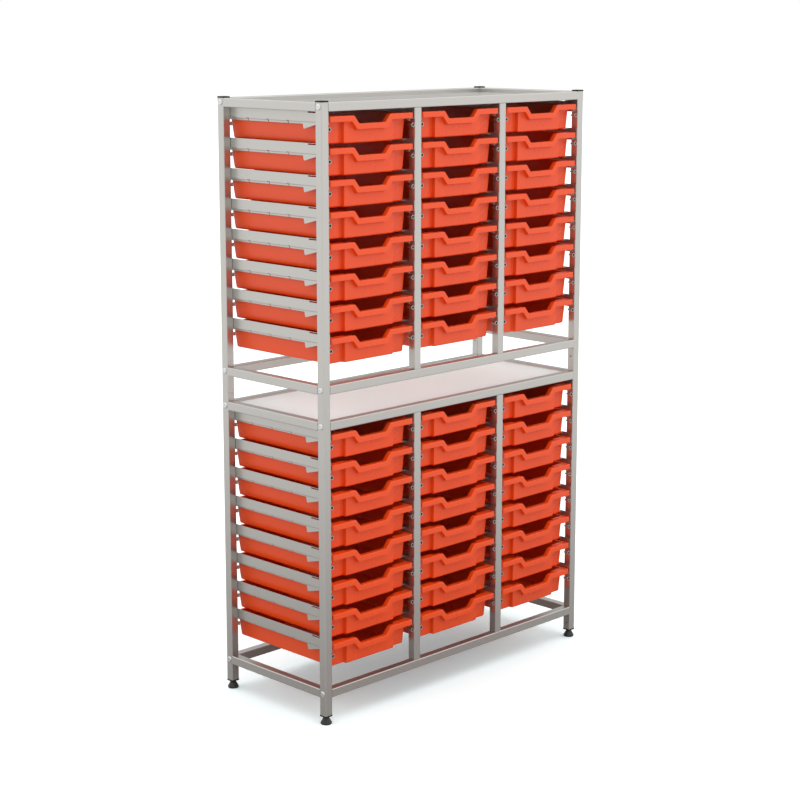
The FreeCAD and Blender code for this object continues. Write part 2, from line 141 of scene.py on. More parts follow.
# %% Rings, lofts and finished objects
def loft(rings, ends=True, wrap=False):
    """A mesh of quads between rings with equal numbers of points, with its end rings filled."""
    made = bmesh.new()
    rows = [[made.verts.new(point) for point in ring] for ring in rings]
    count = len(rows[0])
    pairs = list(zip(rows, rows[1:]))
    if wrap:
        pairs.append((rows[-1], rows[0]))
    for first, second in pairs:
        for i in range(count):
            j = (i + 1) % count
            made.faces.new((first[i], first[j], second[j], second[i]))
    if ends and not wrap:
        made.faces.new(list(reversed(rows[0])))
        made.faces.new(rows[-1])
    bmesh.ops.recalc_face_normals(made, faces=made.faces)
    return made


def join(target, source, matrix=Matrix.Identity(4)):
    """Adds a moved copy of one bmesh to another."""
    copy = {v: target.verts.new(matrix @ v.co) for v in source.verts}
    flip = matrix.determinant() < 0
    for face in source.faces:
        corners = [copy[v] for v in face.verts]
        target.faces.new(corners[::-1] if flip else corners)


def to_mesh(made, name, sharp=32):
    """Turns a bmesh into a mesh that is smooth except across edges sharper than the angle."""
    mesh = bpy.data.meshes.new(name)
    made.to_mesh(mesh)
    made.free()
    mesh.polygons.foreach_set("use_smooth", [True] * len(mesh.polygons))
    mesh.set_sharp_from_angle(angle=math.radians(sharp))
    return mesh


def put(name, mesh, body, slot, place=(0, 0, 0), stands_for=()):
    piece = bpy.data.objects.new(name, mesh)
    bpy.context.scene.collection.objects.link(piece)
    piece.location = place
    even = piece.modifiers.new("even_normals", "WEIGHTED_NORMAL")
    even.keep_sharp = True
    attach(piece, body)
    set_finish(piece, slot)
    if stands_for:
        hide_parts(*stands_for)
    return piece


def cut_with(target, tools):
    """Applies boolean cuts to a bmesh and returns the result as a mesh."""
    body = bpy.data.objects.new("cut_body", to_mesh(target, "cut_body"))
    punch = bpy.data.objects.new("cut_punch", to_mesh(tools, "cut_punch"))
    for piece in (body, punch):
        bpy.context.scene.collection.objects.link(piece)
    cut = body.modifiers.new("cut", "BOOLEAN")
    cut.operation, cut.solver, cut.object = "DIFFERENCE", "EXACT", punch
    result = bpy.data.meshes.new_from_object(body.evaluated_get(bpy.context.evaluated_depsgraph_get()))
    for piece in (body, punch):
        bpy.data.objects.remove(piece)
    made = bmesh.new()
    made.from_mesh(result)
    bpy.data.meshes.remove(result)
    return made


def rounded(corners, radii, segments=4):
    """A closed outline with its corners rounded; a radius of 0 leaves a corner sharp."""
    points = []
    for i, corner in enumerate(corners):
        here = Vector(corner)
        radius = radii[i] if isinstance(radii, (list, tuple)) else radii
        if not radius:
            points.append(here)
            continue
        back = (Vector(corners[i - 1]) - here).normalized()
        ahead = (Vector(corners[(i + 1) % len(corners)]) - here).normalized()
        half_angle = back.angle(ahead) / 2
        reach = radius / math.tan(half_angle)
        centre = here + (back + ahead).normalized() * (radius / math.sin(half_angle))
        start = here + back * reach - centre
        turn = (here + ahead * reach - centre).angle_signed(start)
        for step in range(segments + 1):
            angle = turn * step / segments
            spun = start.copy()
            spun.rotate(Matrix.Rotation(angle, 2))
            points.append(centre + spun)
    return points


def circle(radius, height, around):
    """A level ring of points about Z."""
    turns = [2 * math.pi * k / around for k in range(around)]
    return [Vector((radius * math.cos(turn), radius * math.sin(turn), height)) for turn in turns]


def lathe(profile, around=48):
    """Turns a profile of (radius, height) in millimetres about Z, and fills its first and last rings."""
    return loft([circle(radius * MM, height * MM, around) for radius, height in profile])


print("corner check", [tuple(round(c, 2) for c in p) for p in rounded([(0, 0), (4, 0), (4, 4), (0, 4)], 1, 1)])

# %% [markdown]
# ## The tray
# The real tray is one moulding: a drafted tub, a flat rim round its top, a skirt turned down from the
# rim's edge, and a front where rim and skirt dip to make a grip. A box with a bevel could never dip like
# that. Here one section, from the floor's inside up over the rim, down the skirt and under to the base,
# is carried round the tray, and at the front every point of it sinks by the dip at its own place. The
# mould's sides lean 5.5 degrees so that empty trays nest, but the front leans only 2.4.

# %% The tray's own sizes
TRAY_HALF_WIDTH = (tray_high.x - tray_low.x) / 2 / MM
TRAY_FRONT = tray_low.y / MM
TRAY_REAR = tray_high.y / MM
TRAY_BASE = (tray_low.z - tray_high.z) / MM
DRAFT = math.tan(math.radians(5.5))
FRONT_DRAFT = math.tan(math.radians(2.4))
WALL = 2.0
SIDE_RIM = 7.2
END_RIM = 13.0
REAR_RIM = 5.5
SETBACK = 11.5
PANEL_HALF = 94.5
PANEL_SLOPE = 2.8
RIM_HEIGHT = 15.5
RIM_CORNER = 5.0
TUB_CORNER = 4.0
NOTCH_TOP = 67.5
NOTCH_FLOOR = 49.5
NOTCH_DEPTH = 22.0
NOTCH_ANGLE = math.atan(NOTCH_DEPTH / (NOTCH_TOP - NOTCH_FLOOR))
GRIP_SPREAD = RIM_HEIGHT * math.tan(NOTCH_ANGLE / 2)
GRIP_FILLET = 6.0
CORNER_TURN = math.tan(math.atan(SETBACK / PANEL_SLOPE) / 2)
print("tray", TRAY_HALF_WIDTH * 2, TRAY_REAR - TRAY_FRONT, TRAY_BASE)


# %% How softly the mould bends, and the heights between its edges
NOTCH_FLOOR_BEND = 2.4
NOTCH_TOP_BEND = 4.2
GRIP_MIDDLE = 20.0
PANEL_STRAIGHT = 3.0
PANEL_EDGE_BEND = 0.7
PANEL_CORNER_BEND = 1.2
PANEL_MARGIN = 0.5
LAST_STATION = 118.0
INSIDE_HALFWAY, INSIDE_DIP_SHARE = -38.0, 0.45
OUTSIDE_HALFWAY, OUTSIDE_DIP_SHARE = -54.0, 0.2
UNDER_GRIP = 2.0
print("grip spread", round(GRIP_SPREAD, 2), "corner turn", round(CORNER_TURN, 3))


# %% Points across the front, with the dip of the grip
def bend(corner, towards_in, towards_out, reach, steps):
    """A soft bend in the front's line: points on a curve that cuts the corner."""
    start = Vector(corner) + Vector(towards_in).normalized() * reach
    finish = Vector(corner) + Vector(towards_out).normalized() * reach
    points = []
    for step in range(steps + 1):
        t = step / steps
        points.append((1 - t) ** 2 * start + 2 * t * (1 - t) * Vector(corner) + t ** 2 * finish)
    return points


def front_half(spread):
    """(distance from the middle, dip) for the right half of the front, out to the last station."""
    slope = (NOTCH_TOP - NOTCH_FLOOR, -NOTCH_DEPTH)
    down = (-slope[0], -slope[1])
    line = [Vector((0, NOTCH_DEPTH)), Vector((GRIP_MIDDLE, NOTCH_DEPTH))]
    line += bend((NOTCH_FLOOR + spread, NOTCH_DEPTH), (-1, 0), slope, NOTCH_FLOOR_BEND, 3)
    line += bend((NOTCH_TOP + spread, 0), down, (1, 0), NOTCH_TOP_BEND, 5)
    return line


def corner_half(start):
    """(distance from the middle, share of the setback) where the panel's side turns back to the corner."""
    slope = Vector((PANEL_SLOPE, SETBACK))
    line = [Vector((start - PANEL_STRAIGHT, 0))]
    line += bend((start, 0), (-1, 0), slope, PANEL_EDGE_BEND, 3)
    line += bend((start + PANEL_SLOPE, SETBACK), -slope, (1, 0), PANEL_CORNER_BEND, 3)
    return [(p.x, p.y / SETBACK) for p in line]


def stations(spread, inset):
    """All points across the front from left to right: (x, dip, share of the corner setback)."""
    right = [(p.x, p.y, 0.0) for p in front_half(spread)]
    right += [(x, 0, share) for x, share in corner_half(PANEL_HALF - inset * CORNER_TURN)]
    right += [(LAST_STATION, 0, 1.0)]
    left = [(-x, dip, share) for x, dip, share in reversed(right[1:])]
    return left + right


print("stations across the front", len(stations(0, 0)))


# %% One ring of the tray's section, on the rim or on the tub
CORNER_STEPS = 5


def corner_arc(centre_x, centre_y, radius, start):
    arc = []
    for step in range(CORNER_STEPS + 1):
        angle = math.radians(start + 90 * step / CORNER_STEPS)
        arc.append((centre_x + radius * math.cos(angle), centre_y + radius * math.sin(angle)))
    return arc


def around_the_back(half_width, front, rear, radius):
    """Front right corner, right side, rear, left side and front left corner, seen from above."""
    line = corner_arc(half_width - radius, front + radius, radius, -90)
    line += [(half_width, front + (rear - front) * share) for share in (0.33, 0.67)]
    line += corner_arc(half_width - radius, rear - radius, radius, 0)
    line += [(half_width * share, rear) for share in (0.4, -0.4)]
    line += corner_arc(radius - half_width, rear - radius, radius, 90)
    line += [(-half_width, front + (rear - front) * share) for share in (0.67, 0.33)]
    line += corner_arc(radius - half_width, front + radius, radius, 180)
    return line


def rim_ring(inset, height):
    ring = []
    for x, dip, _ in stations(GRIP_SPREAD * min(-height / RIM_HEIGHT, 1), 0):
        ring.append(Vector((x, TRAY_FRONT + inset, height - dip)))
    radius = max(RIM_CORNER - inset, 0.4)
    for x, y in around_the_back(TRAY_HALF_WIDTH - inset, TRAY_FRONT + inset, TRAY_REAR - inset, radius):
        ring.append(Vector((x, y, height)))
    return [point * MM for point in ring]


def tub_ring(inset, height, dip_share, spread=0.0):
    """A ring on the tub: inset counts inwards from the outer face, along the ground."""
    ring = []
    for x, dip, share in stations(spread, inset - height * FRONT_DRAFT):
        z = height - dip * dip_share
        y = TRAY_FRONT + END_RIM + SETBACK * share + inset - z * FRONT_DRAFT
        ring.append(Vector((x, y, z)))
    half_width = TRAY_HALF_WIDTH - SIDE_RIM - inset + height * DRAFT
    front = TRAY_FRONT + END_RIM + SETBACK + inset - height * FRONT_DRAFT
    rear = TRAY_REAR - REAR_RIM - inset + height * DRAFT
    radius = max(TUB_CORNER - max(inset, 0), 1.0)
    for x, y in around_the_back(half_width, front, rear, radius):
        ring.append(Vector((x, y, height)))
    return [point * MM for point in ring]


def close_grip(ring, angle):
    """Lays a ring's points within the grip on its closed underside, which curves down into the panel."""
    for i, (x, dip, _) in enumerate(stations(GRIP_SPREAD, 0)):
        if abs(x) < PANEL_HALF - PANEL_MARGIN:
            z = -RIM_HEIGHT - dip - GRIP_FILLET * (1 - math.cos(angle))
            y = TRAY_FRONT + END_RIM - z * FRONT_DRAFT - GRIP_FILLET * (1 - math.sin(angle))
            ring[i] = Vector((x, y, z)) * MM
    return ring


print("points in a ring", len(rim_ring(0, 0)))

# %% The whole tray
def quarter(steps):
    return [math.radians(90 * step / steps) for step in range(steps + 1)]


def tray_mesh():
    rings = []
    floor, floor_fillet = TRAY_BASE + WALL, 4.0
    for a in quarter(4):
        rings.append(tub_ring(WALL + floor_fillet * (1 - math.sin(a)), floor + floor_fillet * (1 - math.cos(a)), 0))
    rings.append(tub_ring(WALL, INSIDE_HALFWAY, INSIDE_DIP_SHARE))
    lip = 1.0
    for a in quarter(2):
        rings.append(tub_ring(WALL - lip * (1 - math.cos(a)), -lip * (1 - math.sin(a)), 1))
    edge = 1.6
    for a in quarter(4):
        rings.append(rim_ring(edge * (1 - math.sin(a)), -edge * (1 - math.cos(a))))
    hem = 0.5
    for a in quarter(2):
        rings.append(rim_ring(hem * (1 - math.cos(a)), -RIM_HEIGHT + hem * (1 - math.sin(a))))
    rings.append(rim_ring(WALL, -RIM_HEIGHT))
    root = 1.0
    channel = [
        rim_ring(WALL, -WALL - root), rim_ring(WALL + root, -WALL),
        tub_ring(-root, -WALL, 1), tub_ring(0, -WALL - root, 1),
    ]
    for ring, a in zip(channel, quarter(3)):
        rings.append(close_grip(ring, a))
    rings.append(tub_ring(0, -RIM_HEIGHT - GRIP_FILLET - UNDER_GRIP, 1, GRIP_SPREAD))
    rings.append(tub_ring(0, OUTSIDE_HALFWAY, OUTSIDE_DIP_SHARE))
    base_fillet = 5.0
    for a in reversed(quarter(4)):
        rings.append(tub_ring(base_fillet * (1 - math.sin(a)), TRAY_BASE + base_fillet * (1 - math.cos(a)), 0))
    return to_mesh(loft(rings), "tray")


tray = tray_mesh()
for (half, column, row), place in tray_place.items():
    name = tray_name(half, column, row)
    put(f"moulded_{name}", tray, name, "tray_plastic", place, [name])
print("tray faces", len(tray.polygons), "used", tray.users, "times")

# %% [markdown]
# ## Square tube
# The posts, rails and uprights are drawn steel tube with rounded corners. The rounded corner matters more
# than anything else on the tube: it catches the light as one thin bright line down each post. The tube is
# a loft of its outer and inner outlines, so it is hollow like the real one. Low on the inner face of each
# post is a small hole, which probably drains the coating bath. It is cut with a boolean modifier, because
# a loft has no side holes.


# %% A tube from one point to another
TUBE_CORNER = 2.4 * MM
TUBE_WALL = 1.5 * MM
END_CHAMFER = 0.3 * MM


def square(half, radius):
    corners = [(-half, -half), (half, -half), (half, half), (-half, half)]
    return rounded(corners, radius, 5)


def tube(start, finish):
    start, finish = Vector(start), Vector(finish)
    axis = (finish - start).normalized()
    turn = axis.to_track_quat("Z", "Y").to_matrix()
    rings = []
    outer, inner = square(HALF_TUBE, TUBE_CORNER), square(HALF_TUBE - TUBE_WALL, TUBE_CORNER - TUBE_WALL)
    faced = square(HALF_TUBE - END_CHAMFER, TUBE_CORNER - END_CHAMFER)
    back = axis * END_CHAMFER
    for outline, end in ((inner, start), (faced, start), (outer, start + back),
                         (outer, finish - back), (faced, finish), (inner, finish)):
        rings.append([end + turn @ p.to_3d() for p in outline])
    return loft(rings, ends=False, wrap=True)


print("points round a tube", len(square(HALF_TUBE, TUBE_CORNER)))

# %% Both frames
lower_base = side_low.z
half_rise = tray_place["upper", "left", 1].z - tray_place["lower", "left", 1].z
base = {"lower": lower_base, "upper": lower_base + half_rise}
post_top = {"lower": base["upper"], "upper": side_high.z}
LOW_RAIL = 62.5 * MM
HIGH_RAIL = 822.5 * MM
VENT = 5.0
VENT_RISE = 21 * MM


def frame_tubes(half):
    """The two welded side frames and the two bolted cross frames of one half, as separate meshes."""
    sides, crosses = bmesh.new(), bmesh.new()
    for x in (-post_x, post_x):
        for y in (-post_y, post_y):
            join(sides, tube((x, y, base[half]), (x, y, post_top[half])))
        for rise in (LOW_RAIL, HIGH_RAIL):
            z = base[half] + rise
            join(sides, tube((x, HALF_TUBE - post_y, z), (x, post_y - HALF_TUBE, z)))
    for y in (-post_y, post_y):
        for rise in (LOW_RAIL, HIGH_RAIL):
            z = base[half] + rise
            join(crosses, tube((HALF_TUBE - post_x, y, z), (post_x - HALF_TUBE, y, z)))
        for x in (-upright_x, upright_x):
            low, high = base[half] + LOW_RAIL + HALF_TUBE, base[half] + HIGH_RAIL - HALF_TUBE
            join(crosses, tube((x, y, low), (x, y, high)))
    return sides, crosses


def vent_drills(half):
    """Drills for the small hole low on the inner face of each post."""
    drills = bmesh.new()
    reach = 2 * TUBE_WALL / MM
    drill = lathe([(VENT / 2, -reach), (VENT / 2, reach)], 20)
    for side in (-1, 1):
        for y in (-post_y, post_y):
            spot = Matrix.Translation((side * (post_x - HALF_TUBE), y, base[half] + VENT_RISE))
            join(drills, drill, spot @ Matrix.Rotation(math.pi / 2, 4, "Y"))
    return drills


for half in FRAMES:
    sides, crosses = frame_tubes(half)
    sides = cut_with(sides, vent_drills(half))
    side_mesh, cross_mesh = to_mesh(sides, f"{half}_sides"), to_mesh(crosses, f"{half}_crosses")
    put(f"{half}_side_frames", side_mesh, "frame", "frame_paint", stands_for=["side_frames"])
    put(f"{half}_cross_frames", cross_mesh, "frame", "frame_paint", stands_for=["cross_frames"])
print("frame bases", {half: round(z, 4) for half, z in base.items()})

# %% [markdown]
# ## Runners
# A runner is one strip of sheet steel. Its web is welded to a front and a rear upright, its ledge carries
# the tray's skirt, and a lip stiffens the ledge. There is a slot with a small tab, relief cuts in the lip
# and a sloping stop under the web. Beside each upright a small open ring stands on a plate. The front ring
# holds a black plug, which is painted shade: it stands for the dark of the ring's bore. The strip is a loft
# along the runner. A press would punch the slots before it folds the sheet. Here the folded strip is cut
# with a boolean modifier, which is less work.

# %% The folded strip
RUNNER_HALF = 212.0
WEB_TOP = 12.5
LEDGE_TOP = -15.8
GAUGE = 1.5
LEDGE = 10.5
LIP_BOTTOM = -23.0


def strip():
    corners = [
        (0, WEB_TOP), (0, LEDGE_TOP - GAUGE), (LEDGE - GAUGE, LEDGE_TOP - GAUGE), (LEDGE - GAUGE, LIP_BOTTOM),
        (LEDGE, LIP_BOTTOM), (LEDGE, LEDGE_TOP), (GAUGE, LEDGE_TOP), (GAUGE, WEB_TOP),
    ]
    section = rounded(corners, [0.3, 2.0, 0.5, 0.3, 0.3, 2.0, 0.5, 0.3], 4)
    rings = []
    for y in (-RUNNER_HALF, RUNNER_HALF):
        rings.append([Vector((p.x, y, p.y)) * MM for p in section])
    return loft(rings)


def slab(outline, low_x, high_x):
    """A plate standing across X, from an outline of (Y, Z) in millimetres."""
    return loft([[Vector((x, p.x, p.y)) * MM for p in outline] for x in (low_x, high_x)])


def block(low, high, radius=0.0):
    """A straight cutter or bracket between two corners, with rounded corners seen along X."""
    corners = [(low[1], low[2]), (high[1], low[2]), (high[1], high[2]), (low[1], high[2])]
    return slab(rounded(corners, radius, 3), low[0], high[0])


print("strip section points", len(strip().verts) // 2)

# %% Where the punches work, counted along the runner from its front
FRONT = front_y / MM
SPARE = 1.0
PUNCH_RADIUS = 0.8
WEB_SLOT, WEB_SLOT_HEIGHTS, WEB_PUNCH_REACH = (40.0, 82.0), (7.8, 11.3), 3.0
LIP_BREAKS = (173.0, 255.0, 339.0)
FOLD_SLOT_BEFORE, LIP_BREAK_BEFORE, LIP_BREAK_END = 19.0, 5.0, 2.0
FOLD_SLOT_REACH, FOLD_SLOT_BELOW, FOLD_SLOT_ABOVE = 4.5, 2.6, 1.2
REAR_SLOT = (379.0, 399.0)
LIP_PUNCH, LIP_CUT_BELOW = (5.5, 12.0), 2.0
OPEN_END, OPEN_END_WEB = 11.0, 0.8


def on_runner(x, along, height):
    """A point on a runner, with its place along the runner counted from the front."""
    return x, FRONT + along, height


def fold_punch(start, finish):
    """A punch for a slot in the fold between web and ledge."""
    return block(on_runner(-SPARE, start, LEDGE_TOP - FOLD_SLOT_BELOW),
                 on_runner(FOLD_SLOT_REACH, finish, LEDGE_TOP + FOLD_SLOT_ABOVE), PUNCH_RADIUS)


def runner_punches():
    """Every punch of one runner, in one mesh."""
    holes = bmesh.new()
    join(holes, block(on_runner(-SPARE, WEB_SLOT[0], WEB_SLOT_HEIGHTS[0]),
                      on_runner(WEB_PUNCH_REACH, WEB_SLOT[1], WEB_SLOT_HEIGHTS[1]), PUNCH_RADIUS))
    for along in LIP_BREAKS:
        join(holes, fold_punch(along - FOLD_SLOT_BEFORE, along - LIP_BREAK_BEFORE))
        join(holes, block(on_runner(LIP_PUNCH[0], along - LIP_BREAK_BEFORE, LIP_BOTTOM - SPARE),
                          on_runner(LIP_PUNCH[1], along - LIP_BREAK_END, LEDGE_TOP - LIP_CUT_BELOW)))
    join(holes, fold_punch(*REAR_SLOT))
    join(holes, block(on_runner(GAUGE + OPEN_END_WEB, -SPARE, LIP_BOTTOM - SPARE),
                      on_runner(LEDGE + SPARE, OPEN_END, LEDGE_TOP + SPARE), PUNCH_RADIUS))
    return holes


print("punches", 3 + 2 * len(LIP_BREAKS))

# %% The open ring beside an upright, and the black plug of painted shade in its bore
LIE_DOWN = Matrix.Rotation(math.radians(-90), 4, "X")
STUD_PLACES = [(5.75, FRONT + 2.0, -34.0), (5.75, -FRONT - 23.0, -34.0)]
STUD_PROFILE = (
    (0.4, 2.6), (4.0, 2.6), (4.2, 2.4), (4.2, 0.3), (4.5, 0.0), (5.4, 0.0), (5.75, 0.4), (5.75, 1.8),
    (5.3, 2.5), (3.9, 9.5), (2.6, 17.5), (1.7, 19.6), (0.4, 20.0),
)
# The black plug in the front ring is painted shade: it stands for the dark of the ring's bore.
BORE_SHADE_PROFILE = ((0.3, 0.9), (3.6, 0.9), (4.1, 1.4), (4.1, 2.5), (0.3, 2.5))
PLATE_START, PLATE_END, PLATE_HALF, PLATE_GAUGE = 0.5, 19.0, 2.2, 1.2


def lying(profile):
    """A turned form laid down so that it points along the runner, its open side to the front."""
    made = bmesh.new()
    join(made, lathe(profile, 24), LIE_DOWN)
    return made


print("stud reaches from the upright", 2 * STUD_PLACES[0][0])

# %% One runner with its tab, stop and studs
STOP = ((28.0, LEDGE_TOP - 1.2), (98.5, LEDGE_TOP - 19.8), (102.5, LEDGE_TOP - 1.2))
STOP_TIP_RADIUS = 3.2
STOP_INSET = 0.02
TAB = (0.2, 41.0, 7.9), (GAUGE + 8.6, 42.4, 11.3)


def runner():
    made = cut_with(strip(), runner_punches())
    stop = rounded([(FRONT + along, height) for along, height in STOP], [0, STOP_TIP_RADIUS, 0], 5)
    join(made, slab(stop, STOP_INSET, GAUGE - STOP_INSET))
    join(made, block(on_runner(*TAB[0]), on_runner(*TAB[1]), 0.3))
    stud = lying(STUD_PROFILE)
    for x, along, height in STUD_PLACES:
        join(made, stud, Matrix.Translation(Vector((x, along, height)) * MM))
        join(made, block((0, along + PLATE_START, height - PLATE_HALF),
                         (PLATE_GAUGE, along + PLATE_END, height + PLATE_HALF), 0.4))
    return made


# The front ring's black plug is painted shade for its bore.
one_runner, front_bore_shade = runner(), bmesh.new()
join(front_bore_shade, lying(BORE_SHADE_PROFILE), Matrix.Translation(Vector(STUD_PLACES[0]) * MM))
print("runner faces", len(one_runner.faces))

# %% Sixteen runners make one column
column_runners, column_bore_shades = bmesh.new(), bmesh.new()
mirror = Matrix.Scale(-1, 4, (1, 0, 0))
first_rim = tray_place["upper", "left", 1].z
for row in ROWS:
    drop = tray_place["upper", "left", row].z - first_rim
    left = Matrix.Translation((-opening / 2, 0, drop))
    for place in (left, mirror @ left):
        join(column_runners, one_runner, place)
        join(column_bore_shades, front_bore_shade, place)
column_mesh = to_mesh(column_runners, "column_runners")
bore_shade_mesh = to_mesh(column_bore_shades, "column_bore_shades")
for half in FRAMES:
    for column in COLUMNS:
        put(f"runners_{half}_{column}", column_mesh, "frame", "runner_paint", tray_place[half, column, 1],
            ["tray_runners"])
        # The black plugs are painted shade in the bores of the front rings.
        put(f"buffer_pads_{half}_{column}", bore_shade_mesh, "frame", "plug_plastic", tray_place[half, column, 1])
print("column faces", len(column_mesh.polygons))

# %% [markdown]
# ## Bolts
# Each cross rail is held at both ends by one bolt through the post, with a broad flat head and a hexagon
# socket. The heads show on the outer faces of the posts. The socket is part of the turned form: its rings
# change from round to six-sided, so no cut is needed.


# %% Flat heads with hexagon sockets
HEAD_POINTS = 36
SOCKET_HALF, SOCKET_FLOOR, SOCKET_TOP, SOCKET_CENTRE = 2.9, 1.7, 2.5, 0.2
HEAD_PROFILE = ((3.4, 2.8), (5.0, 2.76), (6.6, 2.6), (7.6, 2.2), (8.2, 1.6), (8.5, 0.8), (8.5, 0.2), (8.3, 0))


def hexagon(height, scale=1.0):
    """A six-sided ring with as many points as the round rings above it."""
    ring = []
    for k in range(HEAD_POINTS):
        angle = 2 * math.pi * k / HEAD_POINTS
        sector = (angle + math.pi / 6) % (math.pi / 3) - math.pi / 6
        reach = SOCKET_HALF / math.cos(sector) * scale
        ring.append(Vector((reach * math.cos(angle), reach * math.sin(angle), height)))
    return ring


def bolt_head():
    """A head seated on Z = 0 and rising along +Z."""
    rings = [hexagon(SOCKET_FLOOR, SOCKET_CENTRE), hexagon(SOCKET_FLOOR), hexagon(SOCKET_TOP)]
    rings += [circle(radius, height, HEAD_POINTS) for radius, height in HEAD_PROFILE]
    return loft([[p * MM for p in ring] for ring in rings])


heads = bmesh.new()
head = bolt_head()
for half in FRAMES:
    for rise in (LOW_RAIL, HIGH_RAIL):
        for y in (-post_y, post_y):
            for side in (-1, 1):
                turn = Matrix.Rotation(side * math.pi / 2, 4, "Y")
                spot = Matrix.Translation((side * (post_x + HALF_TUBE), y, base[half] + rise))
                join(heads, head, spot @ turn)
put("socket_bolts", to_mesh(heads, "socket_bolts", 40), "frame", "bolt_steel", stands_for=["frame_bolts"])
print("bolt head points", HEAD_POINTS)

# %% [markdown]
# ## Levelling feet
# A foot is a moulded cone with a flat pad, on a zinc-plated screw that turns into an insert in the end of
# the post. Most of the screw is hidden in the post, but it shows when the foot is wound out, so its
# thread is real geometry: rings whose radius rises and falls along the screw. The insert ends in a rim a
# little wider than the tube, which shows as a thin black line under each post.

# %% The foot and its screw
AXIS = 0.5
FOOT_TOP = 22.7
FOOT_PROFILE = (
    (AXIS, 0.0), (13.6, 0.0), (15.0, 0.7), (15.8, 2.0), (16.0, 3.4), (15.9, 4.6), (15.3, 5.9),
    (7.2, 20.2), (6.5, 21.4), (6.2, 22.3), (6.0, FOOT_TOP), (AXIS, FOOT_TOP),
)
SCREW_START = FOOT_TOP - 0.4
THREAD_CREST, THREAD_ROOT, THREAD_PITCH, THREAD_END = 3.95, 3.4, 1.25, 41.8
SCREW_TIP = [(3.2, 42.2), (2.9, 42.6), (AXIS, 42.6)]


def screw_form():
    profile, height = [(AXIS, SCREW_START)], SCREW_START
    while height < THREAD_END:
        profile += [(THREAD_CREST, height + 0.1), (THREAD_ROOT, height + 0.6)]
        height += THREAD_PITCH
    return lathe(profile + SCREW_TIP, 24)


foot, screw = to_mesh(lathe(FOOT_PROFILE, 56), "foot"), to_mesh(screw_form(), "foot_screw", 50)
corners = {}
for side, x in (("left", -post_x), ("right", post_x)):
    for end, y in (("front", -post_y), ("rear", post_y)):
        corners[f"{end}_{side}"] = (x, y)
for corner, (x, y) in corners.items():
    node = f"foot_{corner}"
    put(f"pad_{node}", foot, node, "foot_plastic", (x, y, 0), [node])
    put(f"screw_{node}", screw, node, "bolt_steel", (x, y, 0), [node])
print("foot faces", len(foot.polygons), len(screw.polygons))


# %% The moulded rim of each insert, under the end of its post
RIM_HOLE = 6.6
RIM_THICK = 4.2
RIM_ROUND = 2.6
INSERT_PROFILE = ((12.3, 0.0), (13.0, -0.6), (13.0, -3.4), (12.5, -4.0), (11.4, -RIM_THICK))


def insert_rim():
    """A square rim round the hole that the foot's screw passes through."""
    rings = []
    for half, height in INSERT_PROFILE:
        rings.append([Vector((p.x, p.y, height)) * MM for p in square(half, RIM_ROUND)])
    for height in (-RIM_THICK, 0.0):
        hole = [p.normalized() * RIM_HOLE for p in square(INSERT_PROFILE[0][0], RIM_ROUND)]
        rings.append([Vector((p.x, p.y, height)) * MM for p in hole])
    return loft(rings, ends=False, wrap=True)


rim_mesh = to_mesh(insert_rim(), "insert_rim")
for corner, (x, y) in corners.items():
    put(f"insert_rim_{corner}", rim_mesh, "frame", "plug_plastic", (x, y, lower_base))
print("insert rims", len(corners))

# %% [markdown]
# ## Pieces kept from the engineering model
# The caps, the foot inserts, the stacking spigots and the two folded panels already have their true
# shape. They only need their edges softened, so each gets a bevel modifier that rounds whatever is
# sharper than 40 degrees.

# %% Soften their edges
SHARPER_THAN = math.radians(40)
KEPT = {"post_caps": 0.5, "tube_plugs": 0.4, "lower_shelf_panel": 0.6, "upper_top_panel": 0.6}
for name, radius in KEPT.items():
    soft = nodes[name].modifiers.new("edge", "BEVEL")
    soft.width, soft.segments, soft.limit_method = radius * MM, 2, "ANGLE"
    soft.angle_limit = SHARPER_THAN
    soft.harden_normals = True
print("kept", sorted(KEPT))

# %% [markdown]
# ## Shared effects
# Powder coat, sheet and plastic all have a fine grain and a little unevenness. Each effect is one shader
# node group with named sockets, placed in every material with that material's own values.


# %% A group for fine grain and slow drift
def new_group(name, inputs, outputs):
    group = bpy.data.node_groups.new(name, "ShaderNodeTree")
    for label, kind, default in inputs:
        socket = group.interface.new_socket(name=label, in_out="INPUT", socket_type=kind)
        socket.default_value = default
    for label, kind in outputs:
        group.interface.new_socket(name=label, in_out="OUTPUT", socket_type=kind)
    entry, leave = group.nodes.new("NodeGroupInput"), group.nodes.new("NodeGroupOutput")
    return group, entry, leave


def math_node(tree, operation, first, second):
    node = tree.nodes.new("ShaderNodeMath")
    node.operation = operation
    for socket, source in zip(node.inputs, (first, second)):
        if isinstance(source, (int, float)):
            socket.default_value = source
        else:
            tree.links.new(source, socket)
    return node.outputs[0]


def noise(tree, vector, scale, detail):
    node = tree.nodes.new("ShaderNodeTexNoise")
    tree.links.new(vector, node.inputs["Vector"])
    node.inputs["Detail"].default_value = detail
    if isinstance(scale, (int, float)):
        node.inputs["Scale"].default_value = scale
    else:
        tree.links.new(scale, node.inputs["Scale"])
    return node.outputs["Fac"]


